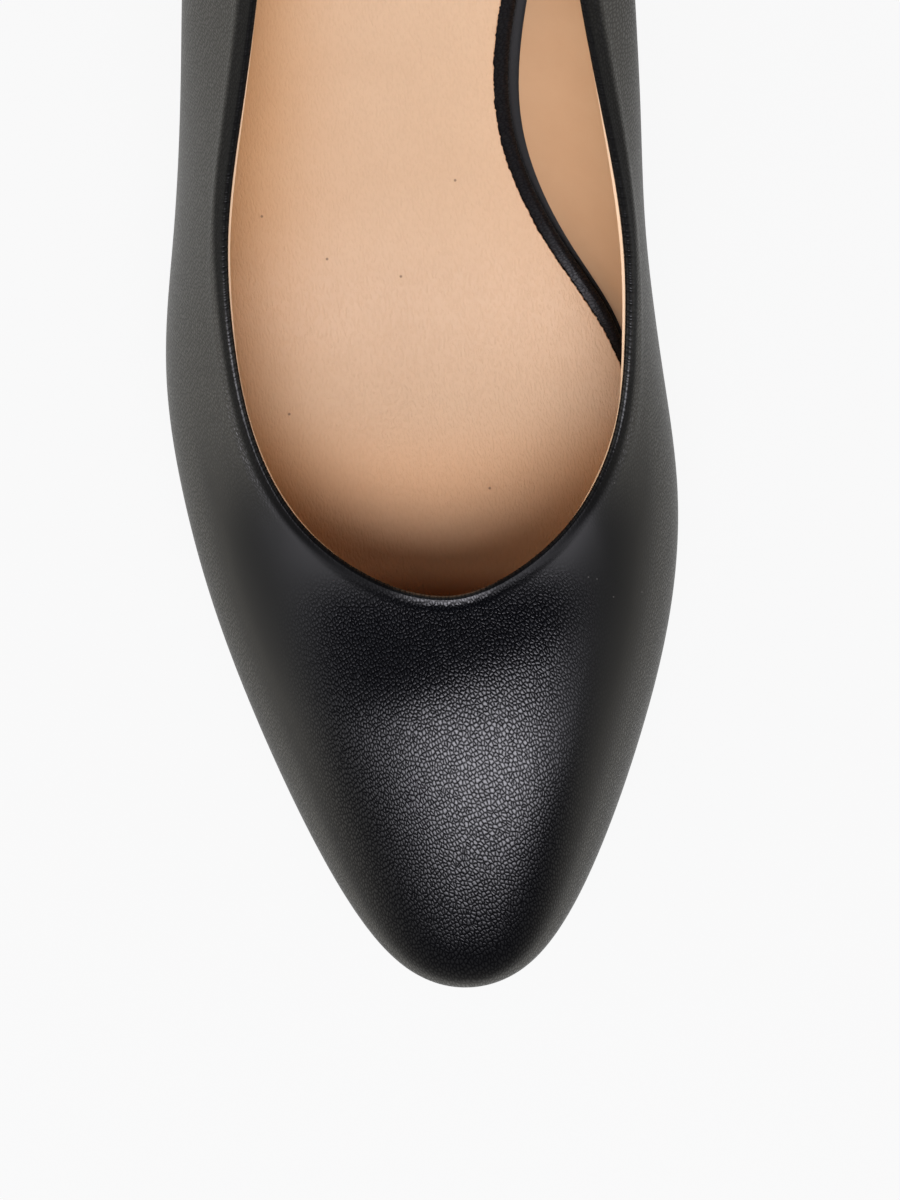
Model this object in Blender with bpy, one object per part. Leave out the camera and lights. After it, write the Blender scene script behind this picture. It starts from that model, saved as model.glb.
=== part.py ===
"""Block heel pump, right shoe, European size 38.

The toe points along -Y, the heel along +Y and the inner (medial) side of the foot along +X. The shoe
stands on the floor at z = 0. Everything is worked out in millimetres and put into the meshes in metres.
"""

import bmesh
import bpy
import numpy as np

MM = 0.001

# Driving dimensions
LENGTH = 245.0          # toe tip to back, in plan
BALL_WIDTH = 83.8       # over the widest points of both sides
HEEL_HEIGHT = 58.5      # floor to the seat, at the back
BACK_RISE = 55.0        # seat to the topline, at the back
TOE_SPRING = 5.0        # lift of the toe tip
WALL = 2.0              # leather and lining of the upper
INSOLE = 3.5            # padded board in its leather wrap
SOCK = 1.0
OUTSOLE = 3.0
TOP_PIECE = 5.0
GAP = 0.3               # cement line between two pieces

# Places along the shoe, from the toe tip
TREAD_FRONT = 62.0      # the tread is flat between these two
TREAD_BACK = 92.0
BREAST = 197.0          # front face of the heel
SEAT_SLOPE = 0.15       # rise of the heel seat for each millimetre backward
THROAT = 64.1           # front of the topline
TOP_BACK = 241.0        # back of the topline
WAIST_FRONT = 82.0      # the waist fades in and out over WAIST_FADE
WAIST_BACK = 232.0
WAIST_FADE = 24.0

# Insets in plan
FEATHER_INSET = 1.6     # feather edge behind the toe tip and ahead of the back
OUTSOLE_INSET = 0.4     # from the feather edge inward
INSOLE_INSET = WALL + 2 * GAP
SOCK_INSET = 4.2
SOCK_WAIST_INSET = 0.9  # more of the black wrap shows along the medial waist
INSOLE_ROUNDING = 1.2   # rounding of the insole's upper edge
OUTSOLE_ROUNDING = 0.7  # chamfer of the outsole's lower edge

# Heel block, floor end
HEEL_TAPER = 0.86       # width at the floor over width at the seat
HEEL_FLOOR_FRONT = 199.0
HEEL_FLOOR_BACK = 241.0
HEEL_LEVELS = 5

# Facets
STATIONS = 52           # along each side, toe to back
TUCK_STEPS = 3          # feather edge to bulge
WALL_STEPS = 9          # bulge to topline
HEEL_STATIONS = 18
PATH_POINTS = 60        # points that a rib is measured by before it is respaced
SHORTEST_FACET = 1.0
SHARP_ANGLE = 0.7       # radians; flatter edges are shaded smooth

# A section of the last: along is a share of LENGTH; lateral, medial and ridge lie that share of BALL_WIDTH
# to their side of the middle (ridge to the medial side); bulges and crown stand that share of BACK_RISE
# over the feather edge; feathers are shares of the way from the ridge out to the bulge.
SECTION_COLUMNS = ("along", "lateral", "medial", "ridge", "bulge_lateral", "bulge_medial",
                   "feather_lateral", "feather_medial", "crown")
SECTIONS = (
    (0.000, -0.084, 0.084, 0.084, 0.098, 0.098, 0.880, 0.880, 0.098),
    (0.012, 0.026, 0.194, 0.088, 0.108, 0.108, 0.890, 0.890, 0.180),
    (0.045, 0.119, 0.279, 0.100, 0.127, 0.127, 0.905, 0.905, 0.277),
    (0.100, 0.215, 0.357, 0.112, 0.149, 0.152, 0.915, 0.915, 0.394),
    (0.175, 0.318, 0.432, 0.114, 0.175, 0.184, 0.925, 0.925, 0.494),
    (0.260, 0.412, 0.488, 0.100, 0.200, 0.218, 0.930, 0.930, 0.546),
    (0.335, 0.470, 0.498, 0.065, 0.209, 0.236, 0.935, 0.935, 0.612),
    (0.415, 0.500, 0.467, 0.032, 0.209, 0.300, 0.940, 0.935, 0.775),
    (0.460, 0.495, 0.446, 0.014, 0.210, 0.390, 0.940, 0.870, 0.930),
    (0.500, 0.483, 0.431, 0.003, 0.212, 0.440, 0.935, 0.720, 1.070),
    (0.580, 0.464, 0.416, -0.007, 0.218, 0.460, 0.920, 0.502, 1.250),
    (0.660, 0.453, 0.399, -0.014, 0.236, 0.460, 0.900, 0.560, 1.280),
    (0.775, 0.432, 0.378, -0.024, 0.290, 0.420, 0.890, 0.780, 1.280),
    (0.880, 0.393, 0.339, -0.027, 0.345, 0.380, 0.900, 0.870, 1.220),
    (0.960, 0.290, 0.236, -0.027, 0.364, 0.364, 0.900, 0.890, 0.900),
    (1.000, 0.027, -0.027, -0.027, 0.364, 0.364, 0.900, 0.900, 0.364),
)

# A point of the topline on each side: along runs from THROAT to TOP_BACK, the widths are shares of
# BALL_WIDTH, and the heights are shares of the seat's height and the back's rise together.
TOPLINE_COLUMNS = ("along", "lateral", "medial", "height_lateral", "height_medial")
TOPLINE = (
    (0.000, -0.043, 0.043, 0.292, 0.292),
    (0.013, 0.080, 0.143, 0.290, 0.290),
    (0.070, 0.242, 0.291, 0.283, 0.284),
    (0.150, 0.331, 0.376, 0.292, 0.299),
    (0.240, 0.370, 0.401, 0.338, 0.352),
    (0.330, 0.377, 0.394, 0.412, 0.430),
    (0.440, 0.343, 0.343, 0.516, 0.539),
    (0.550, 0.306, 0.291, 0.622, 0.644),
    (0.710, 0.282, 0.249, 0.761, 0.781),
    (0.850, 0.270, 0.225, 0.875, 0.888),
    (0.950, 0.206, 0.154, 0.955, 0.960),
    (1.000, 0.027, -0.027, 0.995, 0.995),
)

# Ribs leave the bulge line at the toe and swing back to the throat; from SWING_END on they stand upright
SWING_END = 116.0
SWING_FULLNESS = 0.8
DOME_END = 52.0         # ribs that start ahead of this lie on the vamp's dome
WALL_START = 107.0      # ribs that start behind this are plain leaning walls
LATERAL_FULLNESS = 2.0  # power of the vamp's cross-sections on each side of the ridge
MEDIAL_FULLNESS = 2.8
TINY = 1e-6             # keeps a division whole at the toe tip, where the section closes


def spline(knots, values):
    """Natural cubic spline through the rows of a table."""
    step = np.diff(knots)
    slope = np.diff(values) / step
    count = len(knots)
    system = np.eye(count)
    bend_change = np.zeros(count)
    for row in range(1, count - 1):
        system[row, row - 1:row + 2] = step[row - 1], 2 * (step[row - 1] + step[row]), step[row]
        bend_change[row] = 6 * (slope[row] - slope[row - 1])
    bend = np.linalg.solve(system, bend_change)

    def at(place):
        row = np.clip(np.searchsorted(knots, place) - 1, 0, count - 2)
        after = (place - knots[row]) / step[row]
        before = 1 - after
        bent = (before ** 3 - before) * bend[row] + (after ** 3 - after) * bend[row + 1]
        return before * values[row] + after * values[row + 1] + bent * step[row] ** 2 / 6

    return at


def turn(share):
    """Angle from 0 to pi over a share from 0 to 1, so that widths close roundly at both ends."""
    return np.arccos(np.clip(1 - 2 * np.asarray(share, float), -1, 1))


def columns(names, rows):
    """One spline over the turn angle for each named column of a table."""
    table = np.array(rows)
    angles = turn(table[:, 0])
    return {name: spline(angles, table[:, i]) for i, name in enumerate(names) if i}


LAST = columns(SECTION_COLUMNS, SECTIONS)
TOP = columns(TOPLINE_COLUMNS, TOPLINE)


def last(column, along):
    """A section column at a distance from the toe tip."""
    return LAST[column](turn(along / LENGTH))


def topline(column, along):
    """A topline column at a distance from the toe tip."""
    return TOP[column](turn((along - THROAT) / (TOP_BACK - THROAT)))


def side_name(side):
    """Table name of a side: -1 is lateral, +1 is medial."""
    return "medial" if side > 0 else "lateral"


def smooth_step(share):
    share = np.clip(share, 0, 1)
    return share ** 2 * (3 - 2 * share)


def bed(along):
    """Height of the feather edge: toe spring, flat tread, S-curve of the shank and straight seat."""
    along = np.asarray(along, float)
    tread = OUTSOLE + GAP
    spring = TOE_SPRING * np.clip(1 - along / TREAD_FRONT, 0, None) ** 3
    shank = BREAST - TREAD_BACK
    seat_front = HEEL_HEIGHT - SEAT_SLOPE * (LENGTH - BREAST)
    t = np.clip((along - TREAD_BACK) / shank, 0, 1)
    climb = (seat_front - tread) * (10 * t ** 3 - 15 * t ** 4 + 6 * t ** 5)
    lead_out = SEAT_SLOPE * shank * (7 * t ** 4 - 4 * t ** 3 - 3 * t ** 5)
    seat = SEAT_SLOPE * np.clip(along - BREAST, 0, None)
    return tread + spring + climb + lead_out + seat


def bulge(along, side):
    """Widest line of a side, as the plan shows it: x and z."""
    name = side_name(side)
    x = side * BALL_WIDTH * last(name, along)
    return x, bed(along) + BACK_RISE * last("bulge_" + name, along)


def feather(along, side):
    """Feather edge, where the upper turns under, below the bulge at the same station: x, along and z."""
    name = side_name(side)
    ridge = BALL_WIDTH * last("ridge", along)
    x = ridge + (side * BALL_WIDTH * last(name, along) - ridge) * last("feather_" + name, along)
    inset = FEATHER_INSET + (1 - 2 * FEATHER_INSET / LENGTH) * along
    return x, inset, bed(inset)


def dome(x, along):
    """Height of the vamp: each cross-section is a rounded arch from bulge to bulge over the ridge."""
    ridge = BALL_WIDTH * last("ridge", along)
    crown = bed(along) + BACK_RISE * last("crown", along)
    on_medial = x > ridge
    edge, foot = np.where(on_medial, bulge(along, 1), bulge(along, -1))
    reach = np.abs(x - ridge) / np.maximum(np.abs(edge - ridge), TINY)
    power = np.where(on_medial, MEDIAL_FULLNESS, LATERAL_FULLNESS)
    return foot + (crown - foot) * np.sqrt(1 - np.clip(reach, 0, 1) ** power)


def swing(along):
    """Where on the topline the rib ends that leaves the bulge line at a distance from the toe tip."""
    t = np.clip(along / SWING_END, 0, 1)
    forward = THROAT * (1 - t) ** 2 * (1 + SWING_FULLNESS * t)
    back = np.clip((along - SWING_END) / (LENGTH - SWING_END), 0, 1)
    return along + forward - (LENGTH - TOP_BACK) * back ** 2


def rib(along, side, share):
    """Outer surface of one rib, bulge line (0) to topline (1): a piece of the dome or a leaning wall."""
    name = side_name(side)
    x_bulge, z_bulge = bulge(along, side)
    end = swing(along)
    x_top = side * BALL_WIDTH * topline(name, end)
    z_top = (HEEL_HEIGHT + BACK_RISE) * topline("height_" + name, end)
    x = x_bulge + (x_top - x_bulge) * share ** 2
    place = along + (end - along) * share ** 2
    wall = z_bulge + (z_top - z_bulge) * share
    upright = smooth_step((along - DOME_END) / (WALL_START - DOME_END))
    return x, place, (1 - upright) * dome(x, place) + upright * wall


def tuck(along, side, share):
    """Outer surface under the bulge line, feather edge (0) to bulge line (1), upright at the bulge."""
    x_feather, place_feather, z_feather = feather(along, side)
    x_bulge, z_bulge = bulge(along, side)
    out = 1 - (1 - share) ** 2
    x = x_feather + (x_bulge - x_feather) * out
    place = place_feather + (along - place_feather) * out
    return x, place, z_feather + (z_bulge - z_feather) * share


def even_steps(path, count):
    """A path's points respaced evenly along its length; path is (points, 3)."""
    run = np.concatenate([[0], np.cumsum(np.linalg.norm(np.diff(path, axis=0), axis=1))])
    wanted = np.linspace(0, run[-1], count + 1)
    return np.stack([np.interp(wanted, run, path[:, axis]) for axis in range(3)], axis=1)


def stations():
    """Places along one side, toe tip to back, closer together where the outline turns."""
    return LENGTH * (1 - np.cos(np.linspace(0, np.pi, STATIONS + 1))) / 2


def loop_of_sides():
    """Place and side of each rib around the shoe: toe, medial side, back, lateral side."""
    places = stations()
    medial = [(place, 1) for place in places]
    lateral = [(place, -1) for place in places[-2:0:-1]]
    return medial + lateral


def rib_points(place, side):
    """One rib from the feather edge to the topline, as evenly spaced points."""
    dense = np.linspace(0, 1, PATH_POINTS)
    under = np.stack(np.broadcast_arrays(*tuck(place, side, dense)), axis=1)
    over = np.stack(np.broadcast_arrays(*rib(place, side, dense)), axis=1)
    return np.concatenate([even_steps(under, TUCK_STEPS), even_steps(over, WALL_STEPS)[1:]])


def shell_normals(grid):
    """Outward unit normals of a grid that closes on itself along its first axis."""
    around = np.roll(grid, -1, axis=0) - np.roll(grid, 1, axis=0)
    upward = np.gradient(grid, axis=1)
    normal = np.cross(around, upward)
    return normal / np.linalg.norm(normal, axis=2, keepdims=True)


def material(name, colour, roughness):
    made = bpy.data.materials.new(name)
    made.use_nodes = True
    surface = made.node_tree.nodes["Principled BSDF"]
    surface.inputs["Base Color"].default_value = (*colour, 1)
    surface.inputs["Roughness"].default_value = roughness
    surface.inputs["Metallic"].default_value = 0
    return made


def add_object(name, vertices, faces, surface):
    """Mesh object from points (x, distance from the toe tip, z), with doubled points merged."""
    placed = np.array(vertices) * MM
    placed[:, 1] -= LENGTH / 2 * MM
    mesh = bpy.data.meshes.new(name)
    mesh.from_pydata(placed.tolist(), [], faces)
    work = bmesh.new()
    work.from_mesh(mesh)
    bmesh.ops.remove_doubles(work, verts=work.verts, dist=TINY)
    bmesh.ops.dissolve_degenerate(work, edges=work.edges, dist=TINY)
    bmesh.ops.triangulate(work, faces=work.faces)
    bmesh.ops.recalc_face_normals(work, faces=work.faces)
    work.to_mesh(mesh)
    work.free()
    mesh.shade_smooth()
    mesh.set_sharp_from_angle(angle=SHARP_ANGLE)
    mesh.materials.append(surface)
    made = bpy.data.objects.new(name, mesh)
    bpy.context.scene.collection.objects.link(made)
    return made


def add_upper():
    """Hollow upper: the ribs around the last, the lining surface one wall inside, and the two rims."""
    outer = np.stack([rib_points(place, side) for place, side in loop_of_sides()])
    inner = outer - WALL * shell_normals(outer)
    around, up = outer.shape[:2]

    def index(layer, i, j):
        return layer * around * up + (i % around) * up + j

    faces = []
    for i in range(around):
        for j in range(up - 1):
            faces.append([index(0, i, j), index(0, i + 1, j), index(0, i + 1, j + 1), index(0, i, j + 1)])
            faces.append([index(1, i, j), index(1, i, j + 1), index(1, i + 1, j + 1), index(1, i + 1, j)])
        for j in (0, up - 1):
            faces.append([index(0, i, j), index(1, i, j), index(1, i + 1, j), index(0, i + 1, j)])
    vertices = np.concatenate([outer.reshape(-1, 3), inner.reshape(-1, 3)])
    leather = material("black_leather", (0.012, 0.012, 0.013), 0.42)
    return add_object("upper", vertices, faces, leather)


def waist(places):
    """1 along the waist, fading to 0 at the ball and at the heel."""
    rise = smooth_step((places - WAIST_FRONT) / WAIST_FADE)
    return rise * smooth_step((WAIST_BACK - places) / WAIST_FADE)


def feather_rails(places, inset, waist_inset=0):
    """Medial and lateral rails in plan: the feather edge moved inward, more so at the medial waist."""
    rails = []
    for side in (1, -1):
        x, along, _ = feather(places, side)
        run_x, run_along = np.gradient(x), np.gradient(along)
        ends = (places <= 0) | (places >= LENGTH)
        run_along = np.where(ends, 0, run_along)
        size = np.hypot(run_x, run_along)
        toward_back = np.where(places > LENGTH / 2, -1, 1)
        step_x = np.where(ends, 0, -side * run_along / size)
        step_along = np.where(ends, toward_back, side * run_x / size)
        move = inset + (waist_inset * waist(places) if side > 0 else 0)
        rails.append(np.stack([x + move * step_x, along + move * step_along], axis=1))
    return rails


def stack(name, levels, surface):
    """Closed solid from levels of two rails each, front to back, bridged upward and capped by rungs."""
    rungs = len(levels[0][0])
    vertices = np.concatenate([rail for level in levels for rail in level])

    def index(level, rail, rung):
        return (2 * level + rail) * rungs + rung

    faces = []
    for level in range(len(levels) - 1):
        for rail in (0, 1):
            for rung in range(rungs - 1):
                faces.append([index(level, rail, rung), index(level, rail, rung + 1),
                              index(level + 1, rail, rung + 1), index(level + 1, rail, rung)])
        for rung in (0, rungs - 1):
            faces.append([index(level, 0, rung), index(level, 1, rung),
                          index(level + 1, 1, rung), index(level + 1, 0, rung)])
    for level in (0, len(levels) - 1):
        for rung in range(rungs - 1):
            faces.append([index(level, 0, rung), index(level, 0, rung + 1),
                          index(level, 1, rung + 1), index(level, 1, rung)])
    return add_object(name, vertices, faces, surface)


def sheet_level(places, lift, inset, waist_inset=0):
    """Rails at an inset from the feather edge, lifted by a height over the bed of the last."""
    rails = feather_rails(places, inset, waist_inset)
    return [np.column_stack([rail, bed(rail[:, 1]) + lift]) for rail in rails]


def add_insole():
    """Padded board: a flat underside, an upright edge and a rounded upper edge."""
    places = stations()
    levels = [sheet_level(places, 0, INSOLE_INSET)]
    for angle in np.linspace(0, np.pi / 2, 3):
        lift = INSOLE - INSOLE_ROUNDING * (1 - np.sin(angle))
        levels.append(sheet_level(places, lift, INSOLE_INSET + INSOLE_ROUNDING * (1 - np.cos(angle))))
    return stack("insole", levels, material("black_insole_wrap", (0.011, 0.011, 0.012), 0.5))


def add_sock_lining():
    """Sheet on the insole, cut back from its edge."""
    places = stations()
    foot = INSOLE + GAP
    levels = [sheet_level(places, lift, SOCK_INSET, SOCK_WAIST_INSET) for lift in (foot, foot + SOCK)]
    return stack("sock_lining", levels, material("tan_sock", (0.71, 0.45, 0.29), 0.55))


def add_outsole():
    """Sole from the toe to the heel breast, its lower edge chamfered."""
    end = BREAST - GAP
    places = stations()
    places = np.append(places[places < end - SHORTEST_FACET], end)
    levels = [
        sheet_level(places, -GAP - OUTSOLE, OUTSOLE_INSET + OUTSOLE_ROUNDING),
        sheet_level(places, -GAP - OUTSOLE + OUTSOLE_ROUNDING, OUTSOLE_INSET),
        sheet_level(places, -GAP, OUTSOLE_INSET),
    ]
    return stack("outsole", levels, material("black_sole", (0.02, 0.02, 0.02), 0.6))


def heel_level(share, floor):
    """Rails of the heel block at a share of the way down from the seat to its level floor end."""
    turns = np.linspace(turn(BREAST / LENGTH), np.pi, HEEL_STATIONS)
    places = LENGTH * (1 - np.cos(turns)) / 2
    middle = BALL_WIDTH * last("ridge", LENGTH)
    narrowing = 1 - (1 - HEEL_TAPER) * np.sin(share * np.pi / 2)
    rails = []
    for rail in feather_rails(places, OUTSOLE_INSET):
        seat_x, seat_along = rail.T
        seat = bed(seat_along) - GAP
        floor_ends = (HEEL_FLOOR_FRONT, HEEL_FLOOR_BACK)
        floor_along = np.interp(seat_along, (seat_along[0], seat_along[-1]), floor_ends)
        x = middle + (seat_x - middle) * narrowing
        along = seat_along + (floor_along - seat_along) * share
        rails.append(np.column_stack([x, along, seat + (floor - seat) * share]))
    return rails


def add_heel():
    """Heel block: its seat lies against the upper, its floor end is level."""
    levels = [heel_level(share, TOP_PIECE + GAP) for share in np.linspace(0, 1, HEEL_LEVELS)]
    return stack("heel", levels, material("black_heel_cover", (0.012, 0.012, 0.013), 0.42))


def add_heel_top_piece():
    """Rubber lift with the outline of the heel's floor end."""
    levels = [heel_level(1, height) for height in (TOP_PIECE, 0)]
    return stack("heel_top_piece", levels, material("black_rubber", (0.02, 0.02, 0.02), 0.7))


for leftover in list(bpy.data.objects):
    bpy.data.objects.remove(leftover, do_unlink=True)

add_upper()
add_insole()
add_sock_lining()
add_outsole()
add_heel()
add_heel_top_piece()
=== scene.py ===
"""Block heel pump for the right foot: the finish of every surface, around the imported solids.

Shapes are worked out in millimetres: x to the inner side of the foot, along from the toe tip to the back,
z up from the floor. They go into their meshes in metres.
"""

import bmesh
import bpy
import numpy as np
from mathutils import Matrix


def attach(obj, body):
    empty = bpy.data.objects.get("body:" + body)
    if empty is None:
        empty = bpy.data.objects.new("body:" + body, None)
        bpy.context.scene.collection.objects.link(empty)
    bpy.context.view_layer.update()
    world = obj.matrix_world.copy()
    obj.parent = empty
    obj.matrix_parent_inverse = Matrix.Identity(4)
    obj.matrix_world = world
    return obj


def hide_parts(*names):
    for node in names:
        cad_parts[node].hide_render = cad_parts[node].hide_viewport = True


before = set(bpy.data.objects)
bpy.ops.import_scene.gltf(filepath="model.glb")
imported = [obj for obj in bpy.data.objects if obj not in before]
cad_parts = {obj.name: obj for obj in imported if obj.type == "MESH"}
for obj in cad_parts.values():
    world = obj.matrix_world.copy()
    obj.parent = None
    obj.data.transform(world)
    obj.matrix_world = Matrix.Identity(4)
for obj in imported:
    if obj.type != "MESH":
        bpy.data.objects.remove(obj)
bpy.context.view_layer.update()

# Insole
# A board cut to the feather edge of the last and wrapped in black leather, its upper edge rounded.
# It is tacked to the last before anything else, so the last's own sizes stand here.

MM = 0.001
LENGTH = 245.0          # toe tip to back
BALL_WIDTH = 83.8       # over both bulges at the ball
HEEL_HEIGHT = 58.5      # feather edge over the floor, at the back
BACK_RISE = 55.0        # top of the back over that
TOE_SPRING = 5.0        # lift of the toe tip
TREAD_FRONT = 62.0      # the sole lies flat on the floor from here
TREAD_BACK = 92.0       # to here
BREAST = 197.0          # front of the heel
SEAT_SLOPE = 0.15
OUTSOLE = 3.0           # thickness of the outsole
GAP = 0.3               # between one piece and the next
WALL = 2.0              # thickness of the upper with its lining
FEATHER_INSET = 1.6     # how far the feather edge lies inside the toe tip and the back
INSOLE = 3.5            # thickness of the wrapped board
INSOLE_INSET = WALL + 2 * GAP
INSOLE_LOWER_ROUNDING = 0.4
INSOLE_ROUNDING = 1.2
TINY = 1e-6

# A section of the last: along is a share of LENGTH; lateral, medial and ridge lie that share of BALL_WIDTH
# to their side of the middle (ridge to the medial side); bulges and crown stand that share of BACK_RISE
# over the feather edge; feathers are shares of the way from the ridge out to the bulge.
SECTION_COLUMNS = ("along", "lateral", "medial", "ridge", "bulge_lateral", "bulge_medial",
                   "feather_lateral", "feather_medial", "crown")
SECTIONS = (
    (0.000, -0.084, 0.084, 0.084, 0.098, 0.098, 0.880, 0.880, 0.098),
    (0.012, 0.026, 0.194, 0.088, 0.108, 0.108, 0.890, 0.890, 0.180),
    (0.045, 0.119, 0.279, 0.100, 0.127, 0.127, 0.905, 0.905, 0.277),
    (0.100, 0.215, 0.357, 0.112, 0.149, 0.152, 0.915, 0.915, 0.394),
    (0.175, 0.318, 0.432, 0.114, 0.175, 0.184, 0.925, 0.925, 0.494),
    (0.260, 0.412, 0.488, 0.100, 0.200, 0.218, 0.930, 0.930, 0.546),
    (0.335, 0.470, 0.498, 0.065, 0.209, 0.236, 0.935, 0.935, 0.612),
    (0.415, 0.500, 0.467, 0.032, 0.209, 0.300, 0.940, 0.935, 0.775),
    (0.460, 0.495, 0.446, 0.014, 0.210, 0.390, 0.940, 0.870, 0.930),
    (0.500, 0.483, 0.431, 0.003, 0.212, 0.440, 0.935, 0.720, 1.070),
    (0.580, 0.464, 0.416, -0.007, 0.218, 0.460, 0.920, 0.502, 1.250),
    (0.660, 0.453, 0.399, -0.014, 0.236, 0.460, 0.900, 0.560, 1.280),
    (0.775, 0.432, 0.378, -0.024, 0.290, 0.420, 0.890, 0.780, 1.280),
    (0.880, 0.393, 0.339, -0.027, 0.345, 0.380, 0.900, 0.870, 1.220),
    (0.960, 0.290, 0.236, -0.027, 0.364, 0.364, 0.900, 0.890, 0.900),
    (1.000, 0.027, -0.027, -0.027, 0.364, 0.364, 0.900, 0.900, 0.364),
)


def spline(knots, values):
    """Natural cubic spline through the rows of a table."""
    step = np.diff(knots)
    slope = np.diff(values) / step
    count = len(knots)
    system = np.eye(count)
    bend_change = np.zeros(count)
    for row in range(1, count - 1):
        system[row, row - 1:row + 2] = step[row - 1], 2 * (step[row - 1] + step[row]), step[row]
        bend_change[row] = 6 * (slope[row] - slope[row - 1])
    bend = np.linalg.solve(system, bend_change)

    def at(place):
        row = np.clip(np.searchsorted(knots, place) - 1, 0, count - 2)
        after = (place - knots[row]) / step[row]
        before = 1 - after
        bent = (before ** 3 - before) * bend[row] + (after ** 3 - after) * bend[row + 1]
        return before * values[row] + after * values[row + 1] + bent * step[row] ** 2 / 6

    return at


def turn(share):
    """Angle whose cosine falls from 1 to -1 over a share, so that widths close roundly at both ends."""
    return np.arccos(np.clip(1 - 2 * np.asarray(share, float), -1, 1))


def columns(names, rows):
    """One spline over the turn angle for each named column of a table."""
    table = np.array(rows)
    angles = turn(table[:, 0])
    return {name: spline(angles, table[:, i]) for i, name in enumerate(names) if i}


LAST = columns(SECTION_COLUMNS, SECTIONS)


def last(column, along):
    """A section column at a distance from the toe tip."""
    return LAST[column](turn(along / LENGTH))


def side_name(side):
    """Table name of a side: -1 is lateral, +1 is medial."""
    return "medial" if side > 0 else "lateral"


def smooth_step(share):
    """Rises from 0 to 1 with level ends: 3 s squared less 2 s cubed."""
    share = np.clip(share, 0, 1)
    return share ** 2 * (3 - 2 * share)


def bed(along):
    """Height of the feather edge: toe spring, flat tread, S-curve of the shank and straight seat."""
    along = np.asarray(along, float)
    tread = OUTSOLE + GAP
    spring = TOE_SPRING * np.clip(1 - along / TREAD_FRONT, 0, None) ** 3
    shank = BREAST - TREAD_BACK
    seat_front = HEEL_HEIGHT - SEAT_SLOPE * (LENGTH - BREAST)
    t = np.clip((along - TREAD_BACK) / shank, 0, 1)
    climb = (seat_front - tread) * (10 * t ** 3 - 15 * t ** 4 + 6 * t ** 5)
    lead_out = SEAT_SLOPE * shank * (7 * t ** 4 - 4 * t ** 3 - 3 * t ** 5)
    seat = SEAT_SLOPE * np.clip(along - BREAST, 0, None)
    return tread + spring + climb + lead_out + seat


def feather(along, side):
    """Feather edge, where the upper turns under, below the bulge at the same station: x, along and z."""
    name = side_name(side)
    ridge = BALL_WIDTH * last("ridge", along)
    x = ridge + (side * BALL_WIDTH * last(name, along) - ridge) * last("feather_" + name, along)
    inset = FEATHER_INSET + (1 - 2 * FEATHER_INSET / LENGTH) * along
    return x, inset, bed(inset)


def stations(count, end=LENGTH):
    """Places along one side from the toe tip, closer together where the outline turns."""
    return LENGTH * (1 - np.cos(np.linspace(0, turn(end / LENGTH), count + 1))) / 2


def feather_rails(places, inset, medial_inset=0):
    """Medial and lateral rails in plan: the feather edge moved inward, the medial one by more."""
    rails = []
    for side in (1, -1):
        x, along, _ = feather(places, side)
        run_x, run_along = np.gradient(x), np.gradient(along)
        ends = (places <= 0) | (places >= LENGTH)
        run_along = np.where(ends, 0, run_along)
        size = np.hypot(run_x, run_along)
        toward_back = np.where(places > LENGTH / 2, -1, 1)
        step_x = np.where(ends, 0, -side * run_along / size)
        step_along = np.where(ends, toward_back, side * run_x / size)
        move = inset + (medial_inset if side > 0 else 0)
        rails.append(np.stack([x + move * step_x, along + move * step_along], axis=1))
    return rails


def sheet_sections(places, edge, across, medial_inset=0):
    """Closed sections of a sheet that lies on the bed, toe to back.

    edge lists the inset and the lift of each level of its rim, from the lower face to the upper. A section
    runs over the lower face, up the medial rim, back over the upper face and down the lateral rim.
    """
    rims = [feather_rails(places, inset, medial_inset) for inset, _ in edge]
    lifts = np.array([lift for _, lift in edge])
    medial = np.stack([rim[0] for rim in rims], axis=1)
    lateral = np.stack([rim[1] for rim in rims], axis=1)
    share = np.linspace(0, 1, across + 2)[1:-1, None]

    def face(start, end):
        return start[:, None] + (end - start)[:, None] * share

    plan = np.concatenate([face(lateral[:, 0], medial[:, 0]), medial,
                           face(medial[:, -1], lateral[:, -1]), lateral[:, ::-1]], axis=1)
    lift = np.concatenate([np.full(across, lifts[0]), lifts, np.full(across, lifts[-1]), lifts[::-1]])
    return np.concatenate([plan, (bed(plan[..., 1]) + lift)[..., None]], axis=2)


def rounded_rim(inset, low, high, lower_rounding, upper_rounding, steps=5):
    """Inset and lift of each level of a rim: a quarter round, an upright and another quarter round."""
    angle = np.linspace(0, np.pi / 2, steps)
    falls = list(zip(1 - np.sin(angle), 1 - np.cos(angle)))
    lower = [(inset + lower_rounding * out, low + lower_rounding * up) for out, up in falls]
    upper = [(inset + upper_rounding * up, high - upper_rounding * out) for out, up in falls]
    return lower + upper


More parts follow.
